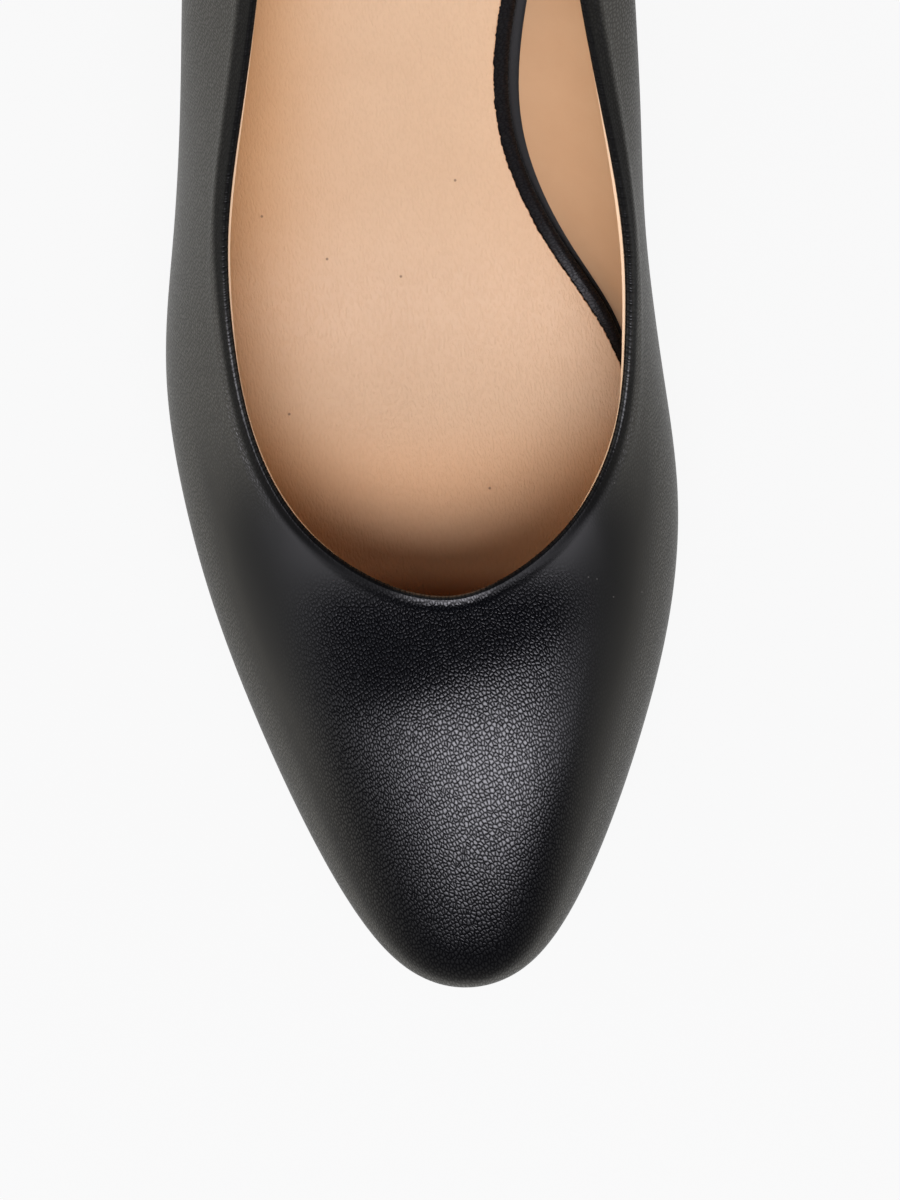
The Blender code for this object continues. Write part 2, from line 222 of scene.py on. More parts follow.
def add_piece(name, grid, around=False, sharp=0.6, marks=None):
    """Mesh object from a grid of points, closed along its second axis, and along its first if around.

    Points that coincide, as at the toe tip and the back of a sheet, are merged. marks are named values or
    vectors at the points, for the finish to read.
    """
    rows, count = grid.shape[:2]
    i = np.arange(rows if around else rows - 1)[:, None]
    j = np.arange(count)[None, :]

    def corner(row, column):
        return (row % rows) * count + column % count

    corners = (corner(i, j), corner(i + 1, j), corner(i + 1, j + 1), corner(i, j + 1))
    faces = np.stack(np.broadcast_arrays(*corners), axis=2).reshape(-1, 4)
    points = grid.reshape(-1, 3) - np.array((0, LENGTH / 2, 0))
    mesh = bpy.data.meshes.new(name)
    mesh.from_pydata((points * MM).tolist(), [], faces.tolist())
    for mark, values in (marks or {}).items():
        kind, field = ("FLOAT_VECTOR", "vector") if values.ndim == 3 else ("FLOAT", "value")
        mesh.attributes.new(mark, kind, "POINT").data.foreach_set(field, values.ravel())
    work = bmesh.new()
    work.from_mesh(mesh)
    bmesh.ops.remove_doubles(work, verts=work.verts, dist=TINY)
    bmesh.ops.dissolve_degenerate(work, edges=work.edges, dist=TINY)
    bmesh.ops.recalc_face_normals(work, faces=work.faces)
    work.to_mesh(mesh)
    work.free()
    mesh.shade_smooth()
    mesh.set_sharp_from_angle(angle=sharp)
    made = bpy.data.objects.new(name, mesh)
    bpy.context.scene.collection.objects.link(made)
    return made


def fit(piece, finish, slot, *nodes):
    """Gives a piece its finish, sets it on the shoe and lets it stand for its solids."""
    piece.data.materials.append(finish.material)
    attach(piece, "root")
    if nodes:
        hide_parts(*nodes)


class Wire:
    """The value at one output of a node; arithmetic on it adds Math nodes to its finish."""

    def __init__(self, finish, socket):
        self.finish = finish
        self.socket = socket

    def math(self, operation, *terms):
        """A Math node on the terms, in their order."""
        return self.finish.node("ShaderNodeMath", {"operation": operation}, dict(enumerate(terms)))

    def __add__(self, other):
        return self.math("ADD", self, other)

    def __sub__(self, other):
        return self.math("SUBTRACT", self, other)

    def __rsub__(self, other):
        return self.math("SUBTRACT", other, self)

    def __mul__(self, other):
        return self.math("MULTIPLY", self, other)

    __radd__ = __add__
    __rmul__ = __mul__


SPECK_CORE = 0.4        # share of its radius within which a speck is full


class Finish:
    """A procedural material, whose nodes feed one shader."""

    def __init__(self, name, uniform):
        self.material = bpy.data.materials.new(name)
        self.material.use_nodes = True
        self.tree = self.material.node_tree
        self.shader = self.tree.nodes["Principled BSDF"]
        self.set_sockets(self.shader, uniform)
        self.place = self.node("ShaderNodeTexCoord", output="Object")

    def set_sockets(self, made, sockets):
        """Links each Wire to its socket of a node, and sets any other value on it."""
        for key, value in sockets.items():
            if isinstance(value, Wire):
                self.tree.links.new(value.socket, made.inputs[key])
            else:
                made.inputs[key].default_value = value

    def node(self, kind, settings=None, sockets=None, output=0):
        """One output of a new node: its settings are set first, then the values or links of its sockets."""
        made = self.tree.nodes.new(kind)
        for setting, value in (settings or {}).items():
            setattr(made, setting, value)
        self.set_sockets(made, sockets or {})
        return Wire(self, made.outputs[output])

    def shade(self, **sockets):
        """Feeds the shader's sockets; an underscore in a name stands for a blank."""
        self.set_sockets(self.shader, {key.replace("_", " "): value for key, value in sockets.items()})

    def darken(self, share, colour):
        """Mixes a dull colour over the shader by a share, as painted shade."""
        dull = {"Base Color": colour, "Roughness": 1.0, "Specular IOR Level": 0.0}
        shaders = {0: share, 1: Wire(self, self.shader.outputs[0]),
                   2: self.node("ShaderNodeBsdfPrincipled", {}, dull)}
        mixed = self.node("ShaderNodeMixShader", {}, shaders)
        self.set_sockets(self.tree.nodes["Material Output"], {0: mixed})

    def laid(self, turned, stretch, vector=None):
        """Object coordinates turned about z and shrunk by a stretch along each axis after the turn."""
        sockets = {"Vector": vector or self.place, "Rotation": (0, 0, turned), "Scale": stretch}
        return self.node("ShaderNodeMapping", {"vector_type": "TEXTURE"}, sockets)

    def noise(self, size, vector=None, detail=2.0, output=0):
        """Soft noise from 0 to 1 with features of a size in millimetres."""
        sockets = {"Vector": vector or self.place, "Scale": 1 / (size * MM), "Detail": detail}
        return self.node("ShaderNodeTexNoise", {}, sockets, output)

    def mark(self, name, output="Fac"):
        """A named value or vector that a piece carries at its points; 0 on a piece without it."""
        return self.node("ShaderNodeAttribute", {"attribute_name": name}, output=output)

    def rise(self, value, start, end, low=0.0, high=1.0):
        """Smooth step of a value from low at start to high at end."""
        sockets = {"Value": value, "From Min": start, "From Max": end, "To Min": low, "To Max": high}
        return self.node("ShaderNodeMapRange", {"interpolation_type": "SMOOTHSTEP"}, sockets)

    def blend(self, share, first, second):
        """Colour between two by a share."""
        return self.node("ShaderNodeMix", {"data_type": "RGBA"}, {0: share, 6: first, 7: second}, 2)

    def specks(self, places, radius):
        """1 on small spots, given by x and along in millimetres, at any height."""
        plan = self.node("ShaderNodeVectorMath", {"operation": "MULTIPLY"}, {0: self.place, 1: (1, 1, 0)})
        spots = 0
        for x, along in places:
            ends = {0: plan, 1: (x * MM, (along - LENGTH / 2) * MM, 0)}
            away = self.node("ShaderNodeVectorMath", {"operation": "DISTANCE"}, ends, "Value")
            spots = spots + self.rise(away, SPECK_CORE * radius * MM, radius * MM, 1, 0)
        return spots

    def bump(self, height, depth, below=None):
        """Normal bent by a height from 0 to 1 that stands for a depth in millimetres."""
        sockets = {"Height": height, "Distance": depth * MM, "Strength": 1.0}
        if below:
            sockets["Normal"] = below
        return self.node("ShaderNodeBump", {}, sockets)


PEBBLE_WANDER = 9       # the rows of pebbles sway once over about this many
PEBBLE_SWAY = 1.2       # and by this many
PEBBLE_DISORDER = 0.85


def pebbles(finish, size, turned, stretch):
    """Distance of a leather grain from its creases, in shares of a pebble: cells longer one way.

    They lie on the piece's flattened places, in millimetres; a slow noise makes their rows wander.
    """
    wander = finish.noise(PEBBLE_WANDER * size, output="Color")
    sway = PEBBLE_SWAY * size
    swayed = finish.node("ShaderNodeVectorMath", {"operation": "MULTIPLY_ADD"},
                         {0: wander, 1: (sway, sway, sway), 2: finish.mark("flat", "Vector")})
    settings = {"voronoi_dimensions": "2D", "feature": "DISTANCE_TO_EDGE"}
    sockets = {"Vector": finish.laid(turned, stretch, swayed), "Scale": 1 / size,
               "Randomness": PEBBLE_DISORDER}
    return finish.node("ShaderNodeTexVoronoi", settings, sockets)


INSOLE_ACROSS = 24
INSOLE_STATIONS = 300
insole_rim = rounded_rim(INSOLE_INSET, 0, INSOLE, INSOLE_LOWER_ROUNDING, INSOLE_ROUNDING)
insole_grid = sheet_sections(stations(INSOLE_STATIONS), insole_rim, INSOLE_ACROSS)
insole = add_piece("insole_wrap", insole_grid, marks={"flat": insole_grid})

WRAP_HOLLOW_SHADE = (0.002, 0.002, 0.0025, 1)
WRAP_RIDGE = (0.006, 0.006, 0.007, 1)
WRAP_TURN = 0.35        # its ribs and pebbles lie at this angle to the shoe
WRAP_RIB = (2.6, 0.55, 1.0)
WRAP_PEBBLE = 0.6
WRAP_STRETCH = (1.5, 0.8, 1.0)
WRAP_DEPTH = 0.12
wrap = Finish("insole_wrap_leather", {"IOR": 1.5, "Specular IOR Level": 0.06,
                                      "Coat IOR": 1.5, "Coat Roughness": 0.3})
wrap_ribs = wrap.noise(1.0, wrap.laid(WRAP_TURN, WRAP_RIB), 3.0)
wrap_grain = wrap.rise(pebbles(wrap, WRAP_PEBBLE, WRAP_TURN, WRAP_STRETCH), 0, 0.3)
wrap_height = 0.55 * wrap_ribs + 0.45 * wrap_grain
# Painted shade: the hollows of the ribs and grain are coloured darker.
wrap.shade(Base_Color=wrap.blend(wrap_height, WRAP_HOLLOW_SHADE, WRAP_RIDGE),
           Roughness=0.6 - 0.2 * wrap_height,
           Coat_Weight=0.4 * wrap_height,
           Normal=wrap.bump(wrap_height, WRAP_DEPTH))
fit(insole, wrap, "insole_wrap", "insole")

# Upper
# One piece of black grained calf drawn over the last and turned under at the feather edge.
# Its top edge is turned in over a tape, which leaves a round bead along the collar.

THROAT = 64.1           # front of the topline
TOP_BACK = 241.0        # back of the topline
SWING_END = 116.0       # ahead of this the ribs swing back toward the throat
SWING_FULLNESS = 0.8
DOME_END = 52.0         # the ribs are pieces of the vamp's dome up to here
WALL_START = 107.0      # and leaning walls from here
LATERAL_FULLNESS = 2.0
MEDIAL_FULLNESS = 2.8
LEATHER = 1.1           # thickness of the upper's leather, without its lining
RIBS = 260              # along each side
BEAD_OUTSIDE = 0.7      # where the bead starts, below the topline on the outside
BEAD_CREST = 0.75       # from the outside to the bead's crest, through the wall
BEAD_INSIDE = 1.0       # where the bead ends, below the topline on the inside
BEAD_DEPTH = 1.7        # from the outside to the bead's inner face, through the wall
BEAD_STEPS = 11         # over each half of the bead
EDGE_BAND = 6.0         # width of the stretch under the topline that is drawn finely
TURN_IN = 2.2           # depth of the turned-in edge behind the lining
TURN_IN_START = 0.1     # it starts this far past the bead
TURN_IN_STEP = 1.0      # the leather behind it starts this far below its end

# Points of a rib: under the bulge line, up the side, over the edge band, turned in, and down the inside
TUCK_STEPS = 14
SIDE_STEPS = 66
BAND_STEPS = 20
TURN_IN_STEPS = 4
INSIDE_STEPS = 9

# Lifts of the leather near its top edge: height, place below the topline and spread
BEAD_LIFT = (0.08, 0.4, 0.45)
GROOVE_LIFT = (-0.05, 1.7, 0.5)
STEP_LIFT = (0.14, 3.2, 0.7)    # over the end of the turned-in edge
STEP_FRONT = 76.0               # ahead of this the step has faded out, over STEP_FADE
STEP_FADE = 16.0

# The toe's stiffener ends on a slanting line ahead of the throat; behind it the leather sags a little
SAG_PLACE = (1.3, 49.0)         # x and along of a point on the line
SAG_TURN = 0.36                 # the line's medial end lies farther back by this angle
SAG_SLOPE = 0.100               # how much flatter the vamp is behind the line
SAG_SOFTNESS = 1.6
SAG_REACH = 30.0                # the slope returns over this
SAG_SIDE = 26.0                 # the sag fades out toward the bulge lines over this
SAG_BACK = (66.0, 100.0)        # and between these places along the shoe
RIDGE_BLEND = 3.0               # the grain's lie turns over the ridge within this

# The grain is open on top of the vamp, drawn smooth over the shoulders, and fine on the sides, where the
# colour is painted paler as sheen from the bright floor and horizon
OPEN_GRAIN = (0.6, 0.95)        # upward share of the leather's normal, from smooth to open grain
OPEN_BACK = (61.0, 10.0)        # along, where the open grain starts to fade, and over which distance
OPEN_SLANT = 0.05               # how much farther back that lies for each millimetre to the medial side
OPEN_SIDES = (-26.0, 33.0)      # x, where the open grain ends
OPEN_FADE = 14.0
FINE_GRAIN = (0.84, 0.55)       # upward share of the normal, from smooth to fine grain with painted sheen
FINE_BACK = (72.0, 26.0)        # along, where it reaches up to the top edge, and over which distance

# A matt black band under the topline is painted shade, lifted along a line at its crest
SHADE_BAND = (1.3, 1.3)               # full width of the band, and the width over which it fades
SHADE_BAND_START = (3.0, 7.0)         # along the topline from the throat, and over which distance
SHADE_BAND_BACK = (1.1, 105.0, 30.0)  # how much wider it gets, from where along and over which distance
CREST_LINE = (0.85, 0.25, 0.22)  # how much the painted shade is lifted there, place below the topline and spread
CREST_PART = (1.0, 106.0, 17.0)  # the stretch of it along the shoe

# A point of the topline on each side: along runs from THROAT to TOP_BACK, the widths are shares of
# BALL_WIDTH, and the heights are shares of the seat's height and the back's rise together.
TOPLINE_COLUMNS = ("along", "lateral", "medial", "height_lateral", "height_medial")
TOPLINE = (
    (0.000, -0.043, 0.043, 0.292, 0.292),
    (0.013, 0.080, 0.143, 0.290, 0.290),
    (0.070, 0.242, 0.291, 0.283, 0.284),
    (0.150, 0.331, 0.376, 0.292, 0.299),
    (0.240, 0.370, 0.401, 0.338, 0.352),
    (0.330, 0.377, 0.394, 0.412, 0.430),
    (0.440, 0.343, 0.343, 0.516, 0.539),
    (0.550, 0.306, 0.291, 0.622, 0.644),
    (0.710, 0.282, 0.249, 0.761, 0.781),
    (0.850, 0.270, 0.225, 0.875, 0.888),
    (0.950, 0.206, 0.154, 0.955, 0.960),
    (1.000, 0.027, -0.027, 0.995, 0.995),
)
TOP = columns(TOPLINE_COLUMNS, TOPLINE)


def topline(column, along):
    """A topline column at a distance from the toe tip."""
    return TOP[column](turn((along - THROAT) / (TOP_BACK - THROAT)))


def bulge(along, side):
    """Widest line of a side, as the plan shows it: x and z."""
    name = side_name(side)
    x = side * BALL_WIDTH * last(name, along)
    return x, bed(along) + BACK_RISE * last("bulge_" + name, along)


def dome(x, along):
    """Height of the vamp: each cross-section is a rounded arch from bulge to bulge over the ridge."""
    ridge = BALL_WIDTH * last("ridge", along)
    crown = bed(along) + BACK_RISE * last("crown", along)
    on_medial = x > ridge
    edge, foot = np.where(on_medial, bulge(along, 1), bulge(along, -1))
    reach = np.abs(x - ridge) / np.maximum(np.abs(edge - ridge), TINY)
    power = np.where(on_medial, MEDIAL_FULLNESS, LATERAL_FULLNESS)
    return foot + (crown - foot) * np.sqrt(1 - np.clip(reach, 0, 1) ** power)


def swing(along):
    """Where on the topline the rib ends that leaves the bulge line at a distance from the toe tip."""
    t = np.clip(along / SWING_END, 0, 1)
    forward = THROAT * (1 - t) ** 2 * (1 + SWING_FULLNESS * t)
    back = np.clip((along - SWING_END) / (LENGTH - SWING_END), 0, 1)
    return along + forward - (LENGTH - TOP_BACK) * back ** 2


def rib(along, side, share):
    """Outer surface of one rib, bulge line (0) to topline (1): a piece of the dome or a leaning wall."""
    name = side_name(side)
    x_bulge, z_bulge = bulge(along, side)
    end = swing(along)
    x_top = side * BALL_WIDTH * topline(name, end)
    z_top = (HEEL_HEIGHT + BACK_RISE) * topline("height_" + name, end)
    x = x_bulge + (x_top - x_bulge) * share ** 2
    place = along + (end - along) * share ** 2
    wall = z_bulge + (z_top - z_bulge) * share
    upright = smooth_step((along - DOME_END) / (WALL_START - DOME_END))
    return x, place, (1 - upright) * dome(x, place) + upright * wall


def tuck(along, side, share):
    """Outer surface under the bulge line, feather edge (0) to bulge line (1), upright at the bulge."""
    x_feather, place_feather, z_feather = feather(along, side)
    x_bulge, z_bulge = bulge(along, side)
    out = 1 - (1 - share) ** 2
    x = x_feather + (x_bulge - x_feather) * out
    place = place_feather + (along - place_feather) * out
    return x, place, z_feather + (z_bulge - z_feather) * share


def sag(x, along):
    """Height lost behind the stiffener's end: a slope times the soft distance behind its slanting line."""
    behind = (along - SAG_PLACE[1]) * np.cos(SAG_TURN) - (x - SAG_PLACE[0]) * np.sin(SAG_TURN)
    soft = SAG_SOFTNESS * np.logaddexp(0, behind / SAG_SOFTNESS)
    depth = SAG_SLOPE * SAG_REACH * np.tanh(soft / SAG_REACH)
    lateral = smooth_step((x - bulge(along, -1)[0]) / SAG_SIDE)
    medial = smooth_step((bulge(along, 1)[0] - x) / SAG_SIDE)
    return depth * lateral * medial * smooth_step((SAG_BACK[1] - along) / (SAG_BACK[1] - SAG_BACK[0]))


def skin(path):
    """Outer surface of the upper, rib by rib: 0 is the feather edge, 1 the bulge line, 2 the topline.

    path holds a row for each rib around the loop: toe, medial side, back, lateral side.
    """
    places = stations(RIBS)[:, None]
    halves = ((places, 1, path[:RIBS + 1]), (places[-2:0:-1], -1, path[RIBS + 1:]))
    grids = []
    for along, side, share in halves:
        under = np.stack(np.broadcast_arrays(*tuck(along, side, share)), axis=2)
        over = np.stack(np.broadcast_arrays(*rib(along, side, np.clip(share - 1, 0, None))), axis=2)
        over[..., 2] -= sag(over[..., 0], over[..., 1])
        grids.append(np.where((share < 1)[..., None], under, over))
    return np.concatenate(grids)


def run_around(grid):
    """Difference between each rib's neighbours, around the closed loop."""
    return np.roll(grid, -1, axis=0) - np.roll(grid, 1, axis=0)


def unit(vectors):
    """Vectors of length 1."""
    return vectors / np.linalg.norm(vectors, axis=-1, keepdims=True)


def topline_edge():
    """The topline's points, and down the wall there: millimetres along a rib and square to the topline,
    each for one unit of path."""
    step = 0.01
    top = np.full((2 * RIBS, 1), 2.0)
    edge = skin(top)
    down = (edge - skin(top - step)) / step
    tangent = unit(run_around(edge))
    square = down - np.sum(down * tangent, axis=2, keepdims=True) * tangent
    return edge, np.linalg.norm(down, axis=2), np.linalg.norm(square, axis=2)


def below_topline(outer, path):
    """Distance of each point from the topline: down its rib, and turned square to the topline."""
    _, along_rib, square = topline_edge()
    hops = np.linalg.norm(np.diff(outer, axis=1, prepend=outer[:, :1]), axis=2)
    run = np.cumsum(hops, axis=1)
    crest = np.argmax(path, axis=1)[:, None]
    return np.abs(run - np.take_along_axis(run, crest, axis=1)) * square / along_rib


def layer(profile, relief=None):
    """Points of a layer of the upper, and their distance below the topline.

    Each column of the profile has a path, a drop below the topline in millimetres and a depth through the
    wall, measured square to the outer surface; a profile may also hold such rows for each rib by itself.
    relief lifts the points by that distance and their place.
    """
    base, drop, depth = np.moveaxis(profile, -1, 0)
    path = base - drop / topline_edge()[2]
    step = 0.004
    outer = skin(path)
    upward = skin(path + step) - skin(path - step)
    normal = unit(np.cross(run_around(outer), upward))
    below = below_topline(outer, path)
    lift = relief(below, outer[..., 1]) if relief else 0
    return outer + (lift - depth)[..., None] * normal, below


def grain_plan(points):
    """Flattened place of each point of the upper, for the leather's grain to lie on.

    Ahead of SWING_END it is the plan, with the drop below the ridge added to x outward. Behind it x is that
    of the rib at SWING_END, along is the run of the bulge line, and only the height still counts.
    """
    x, along, z = np.moveaxis(points, 2, 0)
    places = stations(RIBS)
    flat = np.zeros_like(points)
    for side, rows in ((1, np.arange(RIBS + 1)), (-1, 2 * RIBS - np.arange(RIBS + 1))):
        rows = rows % (2 * RIBS)
        outline = BALL_WIDTH * last(side_name(side), places)
        run = np.cumsum(np.hypot(np.diff(places, prepend=0), np.diff(outline, prepend=outline[0])))
        run += SWING_END - np.interp(SWING_END, places, run)
        swung = places[:, None] < SWING_END
        turned = np.searchsorted(places, SWING_END)
        ridge = BALL_WIDTH * last("ridge", along[rows])
        crown_at = np.minimum(along[rows], THROAT)
        crown = bed(crown_at) + BACK_RISE * last("crown", crown_at)
        outward = np.where(swung, np.tanh((x[rows] - ridge) / RIDGE_BLEND), side)
        flat[rows, :, 0] = np.where(swung, x[rows], x[rows[turned]]) + outward * (crown - z[rows])
        flat[rows, :, 1] = np.where(swung, along[rows], run[:, None])
    return flat


def hump(distance, height, middle, spread):
    """Bell curve of a height over a distance."""
    return height * np.exp(-((distance - middle) / spread) ** 2)


def edge_relief(below, along):
    """Proud bead of the top edge, the groove beside it, and the step over the turned-in leather."""
    step = smooth_step((along - STEP_FRONT) / STEP_FADE)
    return hump(below, *BEAD_LIFT) + hump(below, *GROOVE_LIFT) + step * hump(below, *STEP_LIFT)


def profile_run(steps, start, end, closed=False):
    """Profile rows spaced evenly between two rows; the last one only if closed."""
    return np.linspace(start, end, steps, endpoint=closed)


def bead():
    """Round of the turned edge: a quarter ellipse up the outside and another down the inside."""
    rise = np.linspace(0, np.pi / 2, BEAD_STEPS)
    outside = np.stack([0 * rise + 2, BEAD_OUTSIDE * (1 - np.sin(rise)),
                        BEAD_CREST * (1 - np.cos(rise))], axis=1)
    inside = np.stack([0 * rise + 2, BEAD_INSIDE * (1 - np.cos(rise)),
                       BEAD_CREST + (BEAD_DEPTH - BEAD_CREST) * np.sin(rise)], axis=1)
    return np.concatenate([outside, inside[1:]])


outside_profile = np.concatenate([
    profile_run(TUCK_STEPS, (0, 0, 0), (1, 0, 0)),
    profile_run(SIDE_STEPS, (1, 0, 0), (2, EDGE_BAND, 0)),
    profile_run(BAND_STEPS, (2, EDGE_BAND, 0), (2, BEAD_OUTSIDE, 0)),
    bead(),
])
turn_in_start = (2, BEAD_INSIDE + TURN_IN_START, BEAD_DEPTH - TURN_IN_START)
inside_profile = np.concatenate([
    profile_run(TURN_IN_STEPS, turn_in_start, (2, TURN_IN, LEATHER), True),
    profile_run(INSIDE_STEPS, (2, TURN_IN + TURN_IN_STEP, LEATHER), (0, 0, LEATHER), True),
])
outside, below = layer(outside_profile, edge_relief)
inside, _ = layer(inside_profile)
leather_grid = np.concatenate([outside, inside], axis=1)

# Each point's share in the bead, and its run along the topline from the throat
topline_points = topline_edge()[0]
topline_hops = np.linalg.norm(np.diff(topline_points, axis=0, prepend=topline_points[:1]), axis=2)
topline_run = np.cumsum(topline_hops, axis=0)
bead_mark = np.zeros(leather_grid.shape[:2])
bead_mark[:, :below.shape[1]] = hump(below, 1, 0, BEAD_OUTSIDE)
run_mark = np.broadcast_to(np.minimum(topline_run, topline_run[-1] - topline_run), bead_mark.shape)

# Where the grain is open and where it is fine
upward = unit(np.cross(run_around(leather_grid), np.gradient(leather_grid, axis=1)))[..., 2]
leather_x, leather_along, _ = np.moveaxis(leather_grid, 2, 0)
open_end = OPEN_BACK[0] + OPEN_SLANT * leather_x
vamp = 1 - smooth_step((leather_along - open_end) / OPEN_BACK[1])
vamp *= smooth_step((leather_x - OPEN_SIDES[0]) / OPEN_FADE)
vamp *= smooth_step((OPEN_SIDES[1] - leather_x) / OPEN_FADE)
open_top = smooth_step((upward - OPEN_GRAIN[0]) / (OPEN_GRAIN[1] - OPEN_GRAIN[0]))
open_mark = open_top * vamp * (1 - bead_mark)
fine_and_sheen_sides = smooth_step((upward - FINE_GRAIN[0]) / (FINE_GRAIN[1] - FINE_GRAIN[0]))
fine_and_sheen_back = smooth_step((leather_along - FINE_BACK[0]) / FINE_BACK[1])
fine_and_sheen_mark = np.maximum(fine_and_sheen_sides, fine_and_sheen_back) * (1 - bead_mark)

# The band of painted shade, which goes on over the bead's inner half and the turned-in edge
edge_shade_mark = np.ones_like(bead_mark)
shade_band_width = SHADE_BAND[0] + SHADE_BAND_BACK[0] * smooth_step((outside[..., 1] - SHADE_BAND_BACK[1]) / SHADE_BAND_BACK[2])
shade_band = 1 - smooth_step((below - shade_band_width) / SHADE_BAND[1])
shade_band *= smooth_step((run_mark[:, :below.shape[1]] - SHADE_BAND_START[0]) / SHADE_BAND_START[1])
shade_band *= 1 - hump(below, *CREST_LINE) * hump(outside[..., 1], *CREST_PART)
outer_columns = below.shape[1] - BEAD_STEPS + 2
bead_start = below.shape[1] - 2 * BEAD_STEPS
edge_shade_mark[:, :outer_columns] = shade_band[:, :outer_columns]
marks = {"bead": bead_mark, "open": open_mark, "fine": fine_and_sheen_mark, "turned": edge_shade_mark, "run": run_mark,
         "flat": grain_plan(leather_grid)}
upper = add_piece("upper_leather", leather_grid, around=True, marks=marks)

PLEAT = 0.9             # width of the small pleats across the bead
DUST = ((26.9, 67.2), (28.3, 66.9), (35.7, 64.8), (31.1, 82.4), (28.8, 83.4), (31.0, 64.0))
DUST_RADIUS = 0.16
DUST_GREY = (0.12, 0.115, 0.11, 1)
OPEN_BLACK = (0.0015, 0.0018, 0.003, 1)
SMOOTH_BLACK = (0.012, 0.012, 0.0108, 1)
FINE_SHEEN_GREY = (0.0425, 0.041, 0.034, 1)
PAINTED_SHADE_BLACK = (0.0015, 0.0015, 0.002, 1)
CALF_PEBBLE = 0.64
CALF_PIT = 0.4
CALF_PATCH = 14.0
CALF_TURN = 0.5         # the pebbles lie at this angle to the shoe
CALF_STRETCH = (0.9, 1.25, 1.0)
CALF_DEPTH = 0.02
calf = Finish("grained_calf", {"IOR": 1.5, "Specular IOR Level": 0.5})
calf_open = calf.mark("open")
calf_fine_and_sheen = calf.mark("fine")
calf_bead = calf.mark("bead")
calf_cells = pebbles(calf, CALF_PEBBLE, CALF_TURN, CALF_STRETCH)
calf_grain = calf.rise(calf_cells + 0.35 * calf.noise(CALF_PIT), 0.17, 0.6)
calf_patches = calf.noise(CALF_PATCH)
calf_pleats = calf.node("ShaderNodeTexNoise", {"noise_dimensions": "1D"},
                        {"W": calf.mark("run"), "Scale": 2 / PLEAT, "Detail": 0.0})
calf_folds = calf_bead * calf.rise(calf_pleats, 0.45, 0.65)
calf_height = calf_grain * (0.8 * calf_open + 3.0 * calf_fine_and_sheen) + calf_folds
# Painted sheen: the fine-grained sides and the heel are coloured paler grey, standing for the bright floor
# and horizon they face.
calf_painted_sheen = calf.blend(calf_fine_and_sheen, SMOOTH_BLACK, FINE_SHEEN_GREY)
calf_black_and_sheen = calf.blend(calf_open, calf_painted_sheen, OPEN_BLACK)
calf_rough = 0.28 + 0.05 * calf_fine_and_sheen - 0.12 * calf_open - 0.1 * calf_bead + 0.06 * calf_patches
calf.shade(Base_Color=calf.blend(calf.specks(DUST, DUST_RADIUS), calf_black_and_sheen, DUST_GREY),
           Roughness=calf_rough,
           Normal=calf.bump(calf_height, CALF_DEPTH))
# Painted shade: a dull black mixed into the grain's creases, over half of the smooth shoulders, into the
# bead's pleats and over the edge band.
calf_crease_shade = (1 - calf_grain) * (0.97 * calf_open + 0.4 * calf_fine_and_sheen)
calf_shoulder_shade = (1 - calf_open) * (1 - calf_fine_and_sheen) * (1 - calf_bead)
calf_edge_shade = (1 - 0.5 * calf_folds) * (1 - 0.75 * calf.mark("turned"))
calf.darken(1 - (1 - calf_crease_shade) * (1 - 0.5 * calf_shoulder_shade) * calf_edge_shade, PAINTED_SHADE_BLACK)
fit(upper, calf, "upper_leather", "upper")

# Lining
# Tan lining leather, cemented inside the upper from the feather edge to the collar.
# Its cut edge stands out a little just under the bead, as a pale line around the opening; its paler colour
# is painted highlight.

LINING_TOP = 0.9        # cut edge, below the topline
LINING_CEMENT = 0.1     # between the leather and the lining
LINING_ROUNDING = 0.15
LIP = 0.3               # the cut edge stands out by this
LIP_WIDTH = 1.2
LIP_RISE = 0.55         # it reaches up by this where the leather leans
LIP_LEAN = (0.6, 0.9)   # upward share of the normal there, from none to all of that
LIP_START = (9.0, 10.0)  # along the topline from the throat, and over which distance

# Points of a rib of the lining: under the bulge line, up the side, out over the lip, and over its cut edge
LINING_TUCK_STEPS = 10
LINING_SIDE_STEPS = 50
LIP_STEPS = 4
CUT_STEPS = 3

lip_face = WALL + LIP
lip_foot = LINING_TOP + LIP_WIDTH
lining_back = LEATHER + LINING_CEMENT
lining_profile = np.concatenate([
    profile_run(LINING_TUCK_STEPS, (0, 0, WALL), (1, 0, WALL)),
    profile_run(LINING_SIDE_STEPS, (1, 0, WALL), (2, lip_foot, WALL)),
    profile_run(LIP_STEPS, (2, lip_foot, WALL), (2, LINING_TOP + LINING_ROUNDING, lip_face), True),
    profile_run(CUT_STEPS, (2, LINING_TOP, lip_face - LINING_ROUNDING), (2, LINING_TOP, BEAD_DEPTH), True),
    profile_run(INSIDE_STEPS, (2, lip_foot, lining_back), (0, 0, lining_back), True),
])
lean = smooth_step((upward[:, bead_start] - LIP_LEAN[0]) / (LIP_LEAN[1] - LIP_LEAN[0]))
lip_rise = LIP_RISE * lean * smooth_step((run_mark[:, 0] - LIP_START[0]) / LIP_START[1])
lip_first = LINING_TUCK_STEPS + LINING_SIDE_STEPS + 1
lip_columns = slice(lip_first, lip_first + LIP_STEPS + CUT_STEPS - 1)
lining_rows = np.repeat(lining_profile[None], 2 * RIBS, axis=0)
lining_rows[:, lip_columns, 1] -= lip_rise[:, None]
lining_grid, _ = layer(lining_rows)
cut_mark = np.zeros(lining_grid.shape[:2])
cut_mark[:, lip_columns] = 1
lining = add_piece("upper_lining", lining_grid, around=True, marks={"cut": cut_mark})

